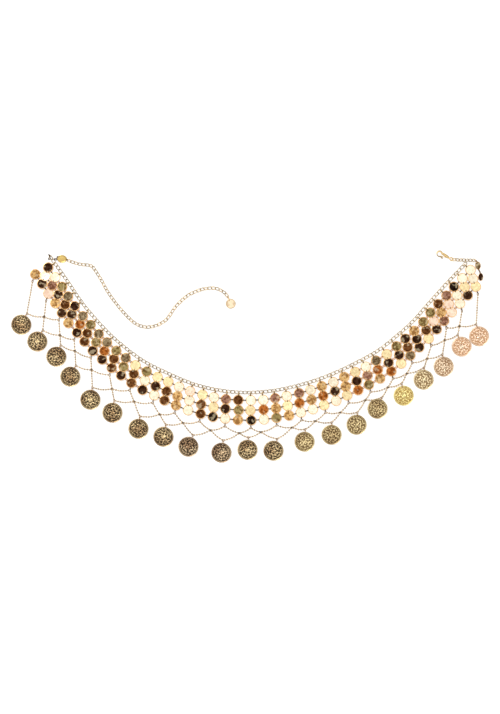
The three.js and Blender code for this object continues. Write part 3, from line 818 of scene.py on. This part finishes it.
class COINBELT_OT_extension(bpy.types.Operator):
    """Builds the extension chain, its oval tag and its end disc"""

    bl_idname = "coinbelt.extension"
    bl_label = "Extension and Tag"

    def execute(self, context):
        sizes, colours = context.scene.coin_belt_sizes, context.scene.coin_belt_colours
        gold = plated_finish("tag_plating", colours.tag, 0.22)
        chain = plated_finish("extension_chain_plating", (1, 1, 1), 0.26)
        line = Line(EXTENSION)
        work = Metalwork()
        pitch = sizes.extension_link / MM
        loop = wire_loop(pitch + 1.4, 4.5, 0.42, 18, 7)
        pale = (colours.chain[0], colours.chain[1] * 0.97, colours.chain[2] * 0.90)
        # painted shade: the links rolled one way are drawn at 0.80, those rolled the other way darker at 0.52
        lay_links(work, line, -2.4, line.length + 1.6, 2 * pitch, *cable(loop, 0.80, 0.52), 1.5, pale, 5)
        end, _ = line.at(line.length)
        way = unit(v2(END_DISC) - end)
        work.add(standing_ring(), (*(end + way * RING_REACH), RING_Z), basis(way, math.pi / 2), pale)
        work.add(wire_loop(3.6, 2.6, 0.38, 12, 6), (*(end + way * 0.2), 0.8), basis(way, 0.25), pale)
        piece = work.build("extension_chain_links", chain)
        settle(piece, "belt", "extension_chain", *nodes_named("extension_"))

        tag = Metalwork()
        tag.add(plate(TAG_RX, TAG_RY, TAG_FACE, TAG_SHEET, 56), (*TAG, 1.0), basis((1, 0), 0.05, 0.03), (1, 1, 1))
        dark = tuple(q * 0.6 for q in colours.joint_ring)
        tag.add(wire_loop(4.6, 3.4, 0.5, 16, 7), (TAG[0] - 8.0, TAG[1] - 0.3, 1.1), basis((1, -0.05), 0.5), dark)
        tag.add(wire_loop(3.0, 2.4, 0.5, 16, 7), (TAG[0] - 5.6, TAG[1] + 2.6, 1.6), basis(unit((1, 1)), 1.2), dark)
        tag.add(wire_loop(3.6, 2.6, 0.45, 16, 7), (TAG[0] + 6.4, TAG[1] - 0.9, 1.2), basis(unit((1, -0.3)), 1.1), dark)
        piece = tag.build("oval_tag_plate", gold)
        settle(piece, "belt", "tag", "oval_tag")

        disc = Metalwork()
        radius, sheet = END_DISC_R, END_DISC_SHEET
        verts, faces = plate(radius, radius, END_DISC_FACE, sheet, 72)
        # share of the raised rim, which the disc finish paints with a highlight
        edge = np.clip((np.linalg.norm(verts[:, :2], axis=1) / radius - 0.80) / 0.12, 0, 1)
        verts, faces, edge = pierce(verts, faces, edge, np.array((RING_R - COIN_LIP - radius, 0.0)), HOLE_R)
        verts = verts + np.array((COIN_LIP + radius, 0.0, sheet / 2))
        axes, z = tipped(way, COIN_LIP + 2 * radius, 0.4)
        disc.add((verts, faces), (*(end + way * RING_REACH), z), axes, END_DISC_TONE, edge)
        piece = disc.build("end_disc_plate", disc_finish("end_disc_plating", (1.0, 1.0, 1.0), END_DISC_RIM_HIGHLIGHT))
        settle(piece, "end_disc", "tag", "end_disc")
        return {"FINISHED"}


class COINBELT_OT_clasp(bpy.types.Operator):
    """Builds the lobster clasp, its sprung lever and the short chain behind it"""

    bl_idname = "coinbelt.clasp"
    bl_label = "Lobster Clasp"

    def execute(self, context):
        colours = context.scene.coin_belt_colours
        steel = plated_finish("clasp_plating", (1, 1, 1), 0.2)
        way = unit(v2(CLASP_TIP) - v2(CLASP_EYE))
        across = side(way)
        gold = tuple(colours.chain)

        def put(u, v, z=1.3):
            q = v2(CLASP_EYE) + way * u + across * v
            return np.array((q[0], q[1], z))

        def arc(radius, a0, a1, n):
            return [put(16.3 + radius * math.cos(math.radians(a0 + (a1 - a0) * i / n)),
                        radius * math.sin(math.radians(a0 + (a1 - a0) * i / n))) for i in range(n + 1)]

        body = Metalwork()
        body.add(wire_loop(5.4, 5.0, 0.62, 20, 8), put(-0.4, 0), basis(way, 0.15), gold)
        shank = [put(1.9, 0), put(3.2, -0.2), put(5.4, -0.5), put(7.8, -0.9), put(10.2, -1.5), put(11.8, -2.1)]
        hook = arc(3.4, 196, 388, 16)
        radii = [0.7, 1.0, 1.75, 2.0, 1.7, 1.35] + [1.15 - 0.45 * i / 16 for i in range(17)]
        path = shank + hook
        body.add(tube(path, radii, 12, 0.62), (0, 0, 0), None, gold)
        body.add(tube([put(8.2, 0.2), put(9.0, 0.9), put(9.6, 1.5)], [1.0, 0.9, 0.4], 10, 0.9), (0, 0, 0), None, gold)
        piece = body.build("clasp_body_cast", steel)
        settle(piece, "belt", "clasp", "clasp_body")

        lever = Metalwork()
        path = [put(10.6, 4.4), put(11.4, 3.6), put(12.2, 2.6), put(13.2, 2.3)] + arc(3.35, 132, 36, 8)
        # painted shade: the lever's tube is the clasp's own gold darkened to 0.55, while its button keeps the full
        # gold
        lever.add(tube(path, [0.75, 0.95, 1.0, 0.85] + [0.72 - 0.02 * i for i in range(9)], 10, 0.85), (0, 0, 0), None,
                  tuple(q * 0.55 for q in gold))
        lever.add(plate(0.8, 0.8, [(0.3, 0.25), (0.7, 0.18), (1.0, 0.0)], 0.4, 18), put(11.9, 1.9, 2.2), None, gold)
        piece = lever.build("clasp_lever_cast", steel)
        settle(piece, "clasp_lever", "clasp", "clasp_lever")

        chain = Metalwork()
        start, to_eye = v2(CLASP_CHAIN_START), v2(CLASP_EYE) - way * 1.6
        line = Line([start, (start + to_eye) / 2 + np.array((0.0, -0.3)), to_eye], 10)
        loop = wire_loop(5.9, 4.4, 0.42, 16, 7)
        # painted shade: the links rolled one way are drawn at 0.9, those rolled the other way darker at 0.6
        lay_links(chain, line, -3.2, line.length + 1.6, 9.0, *cable(loop, 0.9, 0.6, 0.1), 1.45, gold, 9)
        piece = chain.build("clasp_chain_links", steel)
        settle(piece, "belt", "clasp", "clasp_chain")
        return {"FINISHED"}


class COINBELT_OT_stage(bpy.types.Operator):
    """Sets the pale floor, the soft light and the camera straight above"""

    bl_idname = "coinbelt.stage"
    bl_label = "Stage"

    def execute(self, context):
        scene = context.scene
        colours = scene.coin_belt_colours
        scene.view_settings.view_transform = "Standard"
        mesh = bpy.data.meshes.new("floor")
        mesh.from_pydata([(-3, -3, 0), (3, -3, 0), (3, 3, 0), (-3, 3, 0)], [], [(0, 1, 2, 3)])
        floor = bpy.data.objects.new("floor", mesh)
        scene.collection.objects.link(floor)
        f = Finish("pale_floor")
        f.put("Base Color", rgb(colours.floor))
        f.put("Roughness", 0.8)
        f.put("Emission Color", (1, 1, 1, 1))
        f.put("Emission Strength", 0.30)
        mesh.materials.append(f.material)

        world = bpy.data.worlds.new("soft_room")
        scene.world = world
        world.use_nodes = True
        tree = world.node_tree
        coord = tree.nodes.new("ShaderNodeTexCoord")
        split = tree.nodes.new("ShaderNodeSeparateXYZ")
        ramp = tree.nodes.new("ShaderNodeValToRGB")
        while len(ramp.color_ramp.elements) < len(ROOM_LEVELS):
            ramp.color_ramp.elements.new(1.0)
        for element, (at, level) in zip(ramp.color_ramp.elements, ROOM_LEVELS):
            element.position, element.color = at, (level, level * 0.985, level * 0.96, 1)
        tree.links.new(coord.outputs["Generated"], split.inputs[0])
        tree.links.new(split.outputs["Z"], ramp.inputs[0])
        tree.links.new(ramp.outputs[0], tree.nodes["Background"].inputs[0])
        tree.nodes["Background"].inputs[1].default_value = 1.15

        for name, at, energy, size in SOFTBOXES:
            light = bpy.data.lights.new(name, "AREA")
            light.energy, light.size = energy, size
            lamp = bpy.data.objects.new(name, light)
            lamp.location = at
            lamp.rotation_euler = (Vector((0, 0, 0)) - Vector(at)).to_track_quat("-Z", "Y").to_euler()
            scene.collection.objects.link(lamp)

        eye = bpy.data.cameras.new("view_above")
        eye.lens, eye.sensor_width = CAMERA_LENS, 36.0
        camera = bpy.data.objects.new("view_above", eye)
        camera.location = (SHIFT[0] * MM, (SHIFT[1] - CAMERA_BACK) * MM, CAMERA_HEIGHT)
        scene.collection.objects.link(camera)
        scene.camera = camera
        return {"FINISHED"}


class COINBELT_PT_panel(bpy.types.Panel):
    """Lists the belt's pieces, sizes and colours"""

    bl_idname = "COINBELT_PT_panel"
    bl_label = "Coin Belt"
    bl_space_type = "VIEW_3D"
    bl_region_type = "UI"
    bl_category = "Coin Belt"

    def draw(self, context):
        layout = self.layout
        for group in (context.scene.coin_belt_sizes, context.scene.coin_belt_colours):
            box = layout.box()
            for key in group.__annotations__:
                box.prop(group, key)
        for step in STEPS:
            layout.operator(step.bl_idname)


STEPS = (COINBELT_OT_stage, COINBELT_OT_waist_chain, COINBELT_OT_discs, COINBELT_OT_net,
         COINBELT_OT_coins, COINBELT_OT_extension, COINBELT_OT_clasp)
CLASSES = (CoinBeltSizes, CoinBeltColours, *STEPS, COINBELT_PT_panel)


def register():
    for cls in CLASSES:
        bpy.utils.register_class(cls)
    bpy.types.Scene.coin_belt_sizes = bpy.props.PointerProperty(type=CoinBeltSizes)
    bpy.types.Scene.coin_belt_colours = bpy.props.PointerProperty(type=CoinBeltColours)


def unregister():
    del bpy.types.Scene.coin_belt_colours
    del bpy.types.Scene.coin_belt_sizes
    for cls in reversed(CLASSES):
        bpy.utils.unregister_class(cls)


def main():
    register()
    bpy.ops.coinbelt.stage()
    bpy.ops.coinbelt.waist_chain()
    bpy.ops.coinbelt.discs()
    bpy.ops.coinbelt.net()
    bpy.ops.coinbelt.coins()
    bpy.ops.coinbelt.extension()
    bpy.ops.coinbelt.clasp()


if __name__ == "__main__":
    main()
